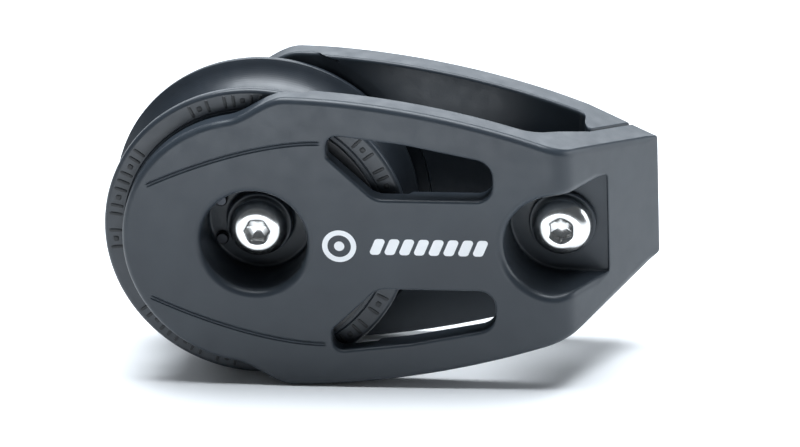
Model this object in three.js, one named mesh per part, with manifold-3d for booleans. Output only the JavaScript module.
// Single sheave block for boat rigging: a grooved wheel that turns on two rows of
// balls between two moulded cheeks, with a slanted head that a lashing is tied to.
// Millimetres. X runs along the block to the head, Y along the axle, Z up.
// The origin is the middle of the block's bounding box.

import * as THREE from 'three';
import { mergeVertices } from 'three/addons/utils/BufferGeometryUtils.js';
import Module from 'manifold-3d';

const wasm = await Module();
wasm.setup();

// ---------------------------------------------------------------- driving dimensions

const SHEAVE_RADIUS = 36;
const SHEAVE_WIDTH = 21.4;
const BLOCK_WIDTH = 34;          // over the outer faces of the two cheeks
const CHEEK_GAP = 21;            // between the inner faces of the two cheeks
const AXLE_TO_HEAD_SCREW = 71;
const AXLE_TO_TIP = 92.3;
const CHEEK_NOSE_RADIUS = 31;    // round end of a cheek, about the axle
const SHOULDER_HEIGHT = 36.4;    // half the height of the block at its shoulders
const TIP_HEIGHT = 14.6;         // half the height of the head at its tip
const HEAD_SLANT = THREE.MathUtils.degToRad(60);
const HEAD_BEND_RADIUS = 8;
const HEAD_PLATE = 5.4;          // thickness of the slanted plate of the near cheek
const GAP = 0.3;                 // between pieces that rest on each other

const HALF = BLOCK_WIDTH / 2;
const INNER = CHEEK_GAP / 2;
const AXLE_X = (SHEAVE_RADIUS - AXLE_TO_TIP) / 2;

// outline of a cheek above its middle line: the nose arc's end in degrees, the shoulder and the
// start of the straight taper, each with how far the curves beside it hold its direction
const NOSE_END = 100;
const SHOULDER = { x: 8.5, pull: 5, reach: 9 };
const TAPER_START = { x: 76, z: 22.6, back: 30, rise: 12 };

// circular recess of each cheek that the edge of the sheave turns in
const RECESS = { radius: 38.7, y: 11.9 };

// cups that are moulded into the cheeks: a screw's pocket outside, a hub or post inside
const POCKET_RADIUS = 13;
const CUP_RADIUS = 15.5;
const SCREW_BORE = 4.3;
const AXLE_CUP = { floor: 2, meet: GAP / 2, bossRadius: 7.7, bossTop: 5.8 };
const HEAD_CUP = { nearFloor: -1, nearEnd: 1, bossRadius: 7.9, bossTop: -2, postRadius: 12 };
const HEAD_NUT_POCKET = { radius: 10, floor: 7 };
const TOOL_PAST = 2;             // how far a cutting shape runs past the face it cuts
const ROOT = 1;                  // how far a joined shape is let into the one it grows from

// inner side of the near cheek where it thickens towards the head, from the slanted plate outwards
const HEAD_INSIDE = [[75, -0.7], [71, -4.5], [67.5, -8.2], [64, -INNER]];
const HEAD_CORNER = { x: 76, y: 4, slantY: 2.6 };    // of the far cheek, at the end of its cavity
const SLANT_INSIDE_Y = 2;        // where the slanted plate's inner face starts

// upper lightening slot of the near cheek: corners from the axle, each with its rounding
const SLOT = [
  { x: 17.8, z: 27.4, round: 2.6 },
  { x: 36, z: 25.1, round: 30 },
  { x: 56.4, z: 20.9, round: 4.6 },
  { x: 56.4, z: 11.4, round: 4 },
  { x: 28.8, z: 11.4, round: 5 },
  { x: 17.8, z: 22, round: 1.8 },
];

// sheave section
const GROOVE = { bottom: 30, lip: 2 };
const BALL_TRACK = { outer: 22.6, sleeve: 17.3, halfWidth: 8.3 };
const RETAINER = { inner: 18.4, outer: 24.5, from: 8.6, to: 10.2 };
const RETAINER_SEAT = RETAINER.outer + GAP;

// balls and cages
const BALL = { radius: 2.5, pitch: 19.95, count: 12, y: 4.4 };
const CAGE = { inner: 18.6, outer: 21.3, pocket: 2.8, halfWidth: 3.7 };

const SLEEVE = { inner: 15.9, halfWidth: 11.6 };
const THRUST_RING = { inner: 25.5, outer: 30, from: 11, to: 11.6 };

// M8 button-head screws, nuts and washers
const SCREW = { shank: 4, head: 7, rim: 1, height: 4.4, crown: 3.5, past: 0.5 };
const SOCKET = { corner: 5 / Math.sqrt(3), depth: 2.6 };
const NUT = { corner: 13 / Math.sqrt(3), height: 6.5 };
const WASHER = { outer: 8, thickness: 1.4 };
const DOWEL = { radius: 1.5, proud: 1.6, pitch: 10.4, angles: [152, 208] };

const ROUND = { fine: 48, medium: 36, small: 20, pin: 10, pocket: 8 };

// ---------------------------------------------------------------- solids and booleans

function solid(geometry) {
  const bare = geometry.clone();
  bare.deleteAttribute('normal');
  bare.deleteAttribute('uv');
  const merged = mergeVertices(bare, 1e-4);
  const mesh = new wasm.Mesh({
    numProp: 3,
    vertProperties: new Float32Array(merged.attributes.position.array),
    triVerts: new Uint32Array(merged.index.array),
  });
  return new wasm.Manifold(mesh);
}

function toGeometry(manifold) {
  const mesh = manifold.getMesh();
  const geometry = new THREE.BufferGeometry();
  geometry.setAttribute('position', new THREE.BufferAttribute(mesh.vertProperties, 3));
  geometry.setIndex(new THREE.BufferAttribute(mesh.triVerts, 1));
  geometry.computeVertexNormals();
  return geometry;
}

// a shape drawn in X and Z, as thick along Y as the two ends say
function sidePrism(shape, yLow, yHigh) {
  const geometry = new THREE.ExtrudeGeometry(shape, { depth: yHigh - yLow, bevelEnabled: false });
  return solid(geometry.rotateX(Math.PI / 2).translate(0, yHigh, 0));
}

// a shape drawn in X and Y, as tall along Z as the two ends say
function planPrism(shape, zLow, zHigh) {
  const geometry = new THREE.ExtrudeGeometry(shape, { depth: zHigh - zLow, bevelEnabled: false });
  return solid(geometry.translate(0, 0, zLow));
}

function disc(radius, yLow, yHigh, segments = ROUND.medium, x = 0, z = 0) {
  const geometry = new THREE.CylinderGeometry(radius, radius, yHigh - yLow, segments);
  return solid(geometry.translate(x, (yLow + yHigh) / 2, z));
}

function block(xLow, xHigh, yLow, yHigh, zLow, zHigh) {
  const geometry = new THREE.BoxGeometry(xHigh - xLow, yHigh - yLow, zHigh - zLow);
  return solid(geometry.translate((xLow + xHigh) / 2, (yLow + yHigh) / 2, (zLow + zHigh) / 2));
}

// a closed section of radius and Y, turned about the Y axis
function turned(section, segments) {
  const points = section.map(([radius, y]) => new THREE.Vector2(radius, y));
  return new THREE.LatheGeometry([...points, points[0]], segments);
}

function ring(inner, outer, yLow, yHigh, segments = ROUND.medium) {
  return turned([[inner, yLow], [outer, yLow], [outer, yHigh], [inner, yHigh]], segments);
}

// a closed outline whose corners are rounded by arcs of a few steps
function roundedShape(corners, steps = 5) {
  const shape = new THREE.Shape();
  corners.forEach((corner, i) => {
    const here = new THREE.Vector2(corner.x, corner.z);
    const before = corners.at(i - 1);
    const after = corners[(i + 1) % corners.length];
    const back = new THREE.Vector2(before.x, before.z).sub(here).normalize();
    const onward = new THREE.Vector2(after.x, after.z).sub(here).normalize();
    const halfAngle = Math.acos(back.dot(onward)) / 2;
    const reach = corner.round / Math.tan(halfAngle);
    const middle = back.clone().add(onward).normalize();
    const centre = here.clone().addScaledVector(middle, corner.round / Math.sin(halfAngle));
    const first = here.clone().addScaledVector(back, reach).sub(centre);
    const last = here.clone().addScaledVector(onward, reach).sub(centre);
    const turn = Math.atan2(first.cross(last), first.dot(last));
    for (let step = 0; step <= steps; step += 1) {
      const point = first.clone().rotateAround(new THREE.Vector2(), turn * step / steps).add(centre);
      if (i === 0 && step === 0) shape.moveTo(point.x, point.y);
      else shape.lineTo(point.x, point.y);
    }
  });
  return shape;
}

// ---------------------------------------------------------------- outlines

// upper edge of a cheek from its nose to the tip: arc, S-curve, long curve and straight taper
function upperEdge() {
  const nose = THREE.MathUtils.degToRad(NOSE_END);
  const arc = new THREE.ArcCurve(0, 0, CHEEK_NOSE_RADIUS, Math.PI, nose, true);
  const arcEnd = arc.getPoint(1);
  const along = new THREE.Vector2(Math.sin(nose), -Math.cos(nose));
  const shoulder = new THREE.Vector2(SHOULDER.x, SHOULDER_HEIGHT);
  const taperStart = new THREE.Vector2(TAPER_START.x, TAPER_START.z);
  const ogee = new THREE.CubicBezierCurve(
    arcEnd,
    arcEnd.clone().addScaledVector(along, SHOULDER.pull),
    shoulder.clone().setX(shoulder.x - SHOULDER.pull),
    shoulder,
  );
  const long = new THREE.CubicBezierCurve(
    shoulder,
    new THREE.Vector2(SHOULDER.x + SHOULDER.reach, SHOULDER_HEIGHT),
    new THREE.Vector2(TAPER_START.x - TAPER_START.back, TAPER_START.z + TAPER_START.rise),
    taperStart,
  );
  const tip = new THREE.Vector2(AXLE_TO_TIP, TIP_HEIGHT);
  return [...arc.getPoints(16), ...ogee.getPoints(6).slice(1), ...long.getPoints(9).slice(1), tip];
}

function cheekOutline() {
  const upper = upperEdge();
  const lower = upper.slice(1).reverse().map((point) => new THREE.Vector2(point.x, -point.y));
  return new THREE.Shape([...upper, ...lower]);
}

// X of the head's slanted outer face at a given Y, moved inwards by a thickness
function slantX(y, inwards = 0) {
  return AXLE_TO_TIP - (HALF - y) / Math.tan(HEAD_SLANT) - inwards / Math.sin(HEAD_SLANT);
}

// plan of the near cheek: side wall, rounded bend, slanted plate that ends at the far face
function nearPlan() {
  const shape = new THREE.Shape();
  const bendStart = slantX(-HALF) - HEAD_BEND_RADIUS * Math.tan(HEAD_SLANT / 2);
  const bendSteps = 6;
  shape.moveTo(-CHEEK_NOSE_RADIUS - TOOL_PAST, -HALF);
  for (let step = 0; step <= bendSteps; step += 1) {
    const angle = HEAD_SLANT * step / bendSteps;
    const x = bendStart + HEAD_BEND_RADIUS * Math.sin(angle);
    shape.lineTo(x, -HALF + HEAD_BEND_RADIUS * (1 - Math.cos(angle)));
  }
  shape.lineTo(AXLE_TO_TIP, HALF);
  shape.lineTo(slantX(HALF, HEAD_PLATE), HALF);
  shape.lineTo(slantX(SLANT_INSIDE_Y, HEAD_PLATE), SLANT_INSIDE_Y);
  HEAD_INSIDE.forEach(([x, y]) => shape.lineTo(x, y));
  shape.lineTo(-CHEEK_NOSE_RADIUS - TOOL_PAST, -INNER);
  return shape;
}

// plan of the far cheek: side wall and the head block that backs the slanted plate
function farPlan() {
  const shape = new THREE.Shape();
  const seam = HEAD_PLATE + GAP;
  shape.moveTo(-CHEEK_NOSE_RADIUS - TOOL_PAST, INNER);
  shape.lineTo(HEAD_CORNER.x, INNER);
  shape.lineTo(HEAD_CORNER.x, HEAD_CORNER.y);
  shape.lineTo(slantX(HEAD_CORNER.slantY, seam), HEAD_CORNER.slantY);
  shape.lineTo(slantX(HALF, seam), HALF);
  shape.lineTo(-CHEEK_NOSE_RADIUS - TOOL_PAST, HALF);
  return shape;
}

// ---------------------------------------------------------------- cheeks

function slots() {
  const upper = sidePrism(roundedShape(SLOT), -HALF - TOOL_PAST, 0);
  return upper.add(upper.mirror([0, 0, 1]));
}

// U-shaped cup about the head screw, open towards the slanted face
function headU(radius, xEnd, yLow, yHigh) {
  const round = disc(radius, yLow, yHigh, ROUND.medium, AXLE_TO_HEAD_SCREW);
  return round.add(block(AXLE_TO_HEAD_SCREW, xEnd, yLow, yHigh, -radius, radius));
}

function dowelHoles(yLow, yHigh) {
  const holes = DOWEL.angles.map((degrees) => {
    const angle = THREE.MathUtils.degToRad(degrees);
    const x = DOWEL.pitch * Math.cos(angle);
    const z = DOWEL.pitch * Math.sin(angle);
    return disc(DOWEL.radius + GAP, yLow, yHigh, ROUND.pin, x, z);
  });
  return holes.reduce((all, hole) => all.add(hole));
}

// everything behind the slanted outer face, or behind a plane that far inside it
function behindSlant(inwards) {
  const start = AXLE_TO_HEAD_SCREW - 2 * CUP_RADIUS;
  const plan = new THREE.Shape([
    new THREE.Vector2(start, -HALF),
    new THREE.Vector2(slantX(-HALF, inwards), -HALF),
    new THREE.Vector2(slantX(HALF, inwards), HALF),
    new THREE.Vector2(start, HALF),
  ]);
  return planPrism(plan, -SHOULDER_HEIGHT, SHOULDER_HEIGHT);
}

function nearCheek() {
  const pastHead = AXLE_TO_TIP + TOOL_PAST;
  const inside = planPrism(nearPlan(), -SHOULDER_HEIGHT - TOOL_PAST, SHOULDER_HEIGHT + TOOL_PAST);
  const headCup = headU(CUP_RADIUS, pastHead, -RECESS.y, HEAD_CUP.nearEnd).intersect(behindSlant(ROOT));
  const screwX = AXLE_TO_HEAD_SCREW;
  return sidePrism(cheekOutline(), -HALF, HALF)
    .intersect(inside)
    .subtract(disc(RECESS.radius, -RECESS.y, 0, ROUND.fine))
    .subtract(slots())
    .add(disc(CUP_RADIUS, -RECESS.y - ROOT, -AXLE_CUP.meet))
    .add(headCup)
    .subtract(disc(POCKET_RADIUS, -HALF - TOOL_PAST, -AXLE_CUP.floor))
    .subtract(headU(POCKET_RADIUS, pastHead, -HALF - TOOL_PAST, HEAD_CUP.nearFloor))
    .add(disc(AXLE_CUP.bossRadius, -AXLE_CUP.bossTop, ROOT - AXLE_CUP.floor, ROUND.small))
    .add(disc(HEAD_CUP.bossRadius, HEAD_CUP.bossTop, HEAD_CUP.nearFloor + ROOT, ROUND.small, screwX))
    .subtract(disc(SCREW_BORE, -HALF, HALF, ROUND.small))
    .subtract(disc(SCREW_BORE, -HALF, HALF, ROUND.small, screwX))
    .subtract(dowelHoles(-HALF, HALF));
}

function farCheek() {
  const inside = planPrism(farPlan(), -SHOULDER_HEIGHT - TOOL_PAST, SHOULDER_HEIGHT + TOOL_PAST);
  const screwX = AXLE_TO_HEAD_SCREW;
  const headPost = disc(HEAD_CUP.postRadius, HEAD_CUP.nearEnd + GAP, RECESS.y, ROUND.medium, screwX)
    .intersect(behindSlant(HEAD_PLATE + GAP));
  return sidePrism(cheekOutline(), -HALF, HALF)
    .intersect(inside)
    .subtract(disc(RECESS.radius, 0, RECESS.y, ROUND.fine))
    .add(disc(CUP_RADIUS, AXLE_CUP.meet, RECESS.y + ROOT))
    .add(headPost)
    .subtract(disc(POCKET_RADIUS, AXLE_CUP.floor, HALF + TOOL_PAST))
    .subtract(disc(HEAD_NUT_POCKET.radius, HEAD_NUT_POCKET.floor, HALF + TOOL_PAST, ROUND.medium, screwX))
    .add(disc(AXLE_CUP.bossRadius, AXLE_CUP.floor - ROOT, AXLE_CUP.bossTop, ROUND.small))
    .subtract(disc(SCREW_BORE, -HALF, HALF, ROUND.small))
    .subtract(disc(SCREW_BORE, -HALF, HALF, ROUND.small, screwX))
    .subtract(dowelHoles(-HALF, HALF));
}

// ---------------------------------------------------------------- sheave and bearing

// section of the wheel: side faces, rim lips, round rope groove, ball track and retainer seats
function sheaveGeometry() {
  const half = SHEAVE_WIDTH / 2;
  const grooveHalf = half - GROOVE.lip;
  const depth = SHEAVE_RADIUS - GROOVE.bottom;
  const grooveRadius = (grooveHalf ** 2 + depth ** 2) / (2 * depth);
  const grooveSteps = 8;
  const groove = [];
  for (let step = 0; step <= grooveSteps; step += 1) {
    const y = grooveHalf * (1 - 2 * step / grooveSteps);
    groove.push([GROOVE.bottom + grooveRadius - Math.sqrt(grooveRadius ** 2 - y ** 2), y]);
  }
  const seat = RETAINER_SEAT;
  const track = BALL_TRACK.outer;
  const shelf = BALL_TRACK.halfWidth;
  const section = [
    [seat, -half], [SHEAVE_RADIUS, -half], ...groove.reverse(), [SHEAVE_RADIUS, half],
    [seat, half], [seat, shelf], [track, shelf], [track, -shelf], [seat, -shelf],
  ];
  return turned(section, ROUND.fine);
}

function cageGeometry() {
  let cage = solid(ring(CAGE.inner, CAGE.outer, -CAGE.halfWidth, CAGE.halfWidth));
  const reach = CAGE.outer + TOOL_PAST;
  for (let i = 0; i < BALL.count; i += 1) {
    const drill = new THREE.CylinderGeometry(CAGE.pocket, CAGE.pocket, reach, ROUND.pocket);
    drill.rotateZ(Math.PI / 2).translate(reach / 2, 0, 0).rotateY(2 * Math.PI * i / BALL.count);
    cage = cage.subtract(solid(drill));
  }
  return toGeometry(cage);
}

// ---------------------------------------------------------------- fasteners

// button-head screw: underside of the head at Y 0, dome towards -Y, shank towards +Y
function screwGeometry(length) {
  const { head, rim, height, shank, crown } = SCREW;
  const domeSteps = 5;
  const section = [[0, length], [0, -height]];
  for (let step = 0; step <= domeSteps; step += 1) {
    const angle = Math.PI / 2 * step / domeSteps;
    section.push([crown + (head - crown) * Math.sin(angle), -rim - (height - rim) * Math.cos(angle)]);
  }
  section.push([head, 0], [shank, 0], [shank, length]);
  const hexagon = new THREE.CylinderGeometry(SOCKET.corner, SOCKET.corner, 2 * SOCKET.depth, 6);
  const body = solid(turned(section, ROUND.small));
  return toGeometry(body.subtract(solid(hexagon.translate(0, -height, 0))));
}

function nutGeometry() {
  const body = new THREE.CylinderGeometry(NUT.corner, NUT.corner, NUT.height, 6);
  const hole = disc(SCREW_BORE, -NUT.height, NUT.height, ROUND.small);
  return toGeometry(solid(body).subtract(hole));
}

// ---------------------------------------------------------------- materials

function finish(color, roughness, metalness) {
  return new THREE.MeshStandardMaterial({ color, roughness, metalness });
}

const moulded = finish(0x3a4047, 0.4, 0);
const wheel = finish(0x33383e, 0.35, 0);
const polished = finish(0xd5d7d8, 0.18, 1);
const race = finish(0xb9bcc0, 0.25, 1);
const ballPlastic = finish(0xe6e2d6, 0.35, 0);
const cagePlastic = finish(0x2f3236, 0.55, 0);
const blackened = finish(0x3a3c3f, 0.4, 1);

// ---------------------------------------------------------------- assembly

const sheaveBlock = new THREE.Group();
const axleGroup = new THREE.Group();
axleGroup.position.x = AXLE_X;
sheaveBlock.add(axleGroup);

function place(name, geometry, material, y = 0, x = 0) {
  const mesh = new THREE.Mesh(geometry, material);
  mesh.name = name;
  mesh.position.set(x, y, 0);
  axleGroup.add(mesh);
  return mesh;
}

place('near_cheek', toGeometry(nearCheek()), moulded);
place('far_cheek', toGeometry(farCheek()), moulded);

place('sheave', sheaveGeometry(), wheel);
place('hub_sleeve', ring(SLEEVE.inner, BALL_TRACK.sleeve, -SLEEVE.halfWidth, SLEEVE.halfWidth), race);

// a ring on the near or far side, between two distances from the middle plane
function sideRing({ inner, outer, from, to }, sign) {
  const [low, high] = [sign * from, sign * to].sort((a, b) => a - b);
  return ring(inner, outer, low, high);
}

const sides = [
  { side: 'near', sign: -1 },
  { side: 'far', sign: 1 },
];
for (const { side, sign } of sides) {
  const row = new THREE.Group();
  row.position.y = sign * BALL.y;
  axleGroup.add(row);
  const cage = new THREE.Mesh(cageGeometry(), cagePlastic);
  cage.name = `${side}_ball_cage`;
  row.add(cage);
  for (let i = 0; i < BALL.count; i += 1) {
    const turn = 2 * Math.PI * i / BALL.count;
    const ball = new THREE.Mesh(new THREE.IcosahedronGeometry(BALL.radius, 1), ballPlastic);
    ball.name = `${side}_ball_${String(i + 1).padStart(2, '0')}`;
    ball.position.set(BALL.pitch * Math.cos(turn), 0, -BALL.pitch * Math.sin(turn));
    ball.rotation.y = turn;
    row.add(ball);
  }
  place(`${side}_ball_retainer`, sideRing(RETAINER, sign), cagePlastic);
  place(`${side}_thrust_ring`, sideRing(THRUST_RING, sign), cagePlastic);
}

// each screw's washer and nut sit on the far side, on a boss or a pocket floor
const fasteners = [
  { name: 'axle', x: 0, nearSeat: -AXLE_CUP.bossTop, farSeat: AXLE_CUP.bossTop, turn: 30 },
  {
    name: 'head',
    x: AXLE_TO_HEAD_SCREW,
    nearSeat: HEAD_CUP.bossTop,
    farSeat: HEAD_NUT_POCKET.floor,
    turn: 0,
  },
];
for (const { name, x, nearSeat, farSeat, turn } of fasteners) {
  const headY = nearSeat - GAP;
  const farY = farSeat + GAP;
  const washerTop = farY + WASHER.thickness;
  const nutTop = washerTop + GAP + NUT.height;
  const screw = place(`${name}_screw`, screwGeometry(nutTop + SCREW.past - headY), polished, headY, x);
  screw.rotation.y = THREE.MathUtils.degToRad(turn);
  place(`${name}_washer`, ring(SCREW_BORE, WASHER.outer, farY, washerTop, ROUND.small), polished, 0, x);
  place(`${name}_nut`, nutGeometry(), polished, nutTop - NUT.height / 2, x);
}

// two dowels key the hub halves to each other, and show in both pockets
['upper_hub_dowel', 'lower_hub_dowel'].forEach((name, i) => {
  const angle = THREE.MathUtils.degToRad(DOWEL.angles[i]);
  const length = 2 * (AXLE_CUP.floor + DOWEL.proud);
  const geometry = new THREE.CylinderGeometry(DOWEL.radius, DOWEL.radius, length, ROUND.pin);
  const dowel = place(name, geometry, blackened);
  dowel.position.set(DOWEL.pitch * Math.cos(angle), 0, DOWEL.pitch * Math.sin(angle));
});

export default sheaveBlock;
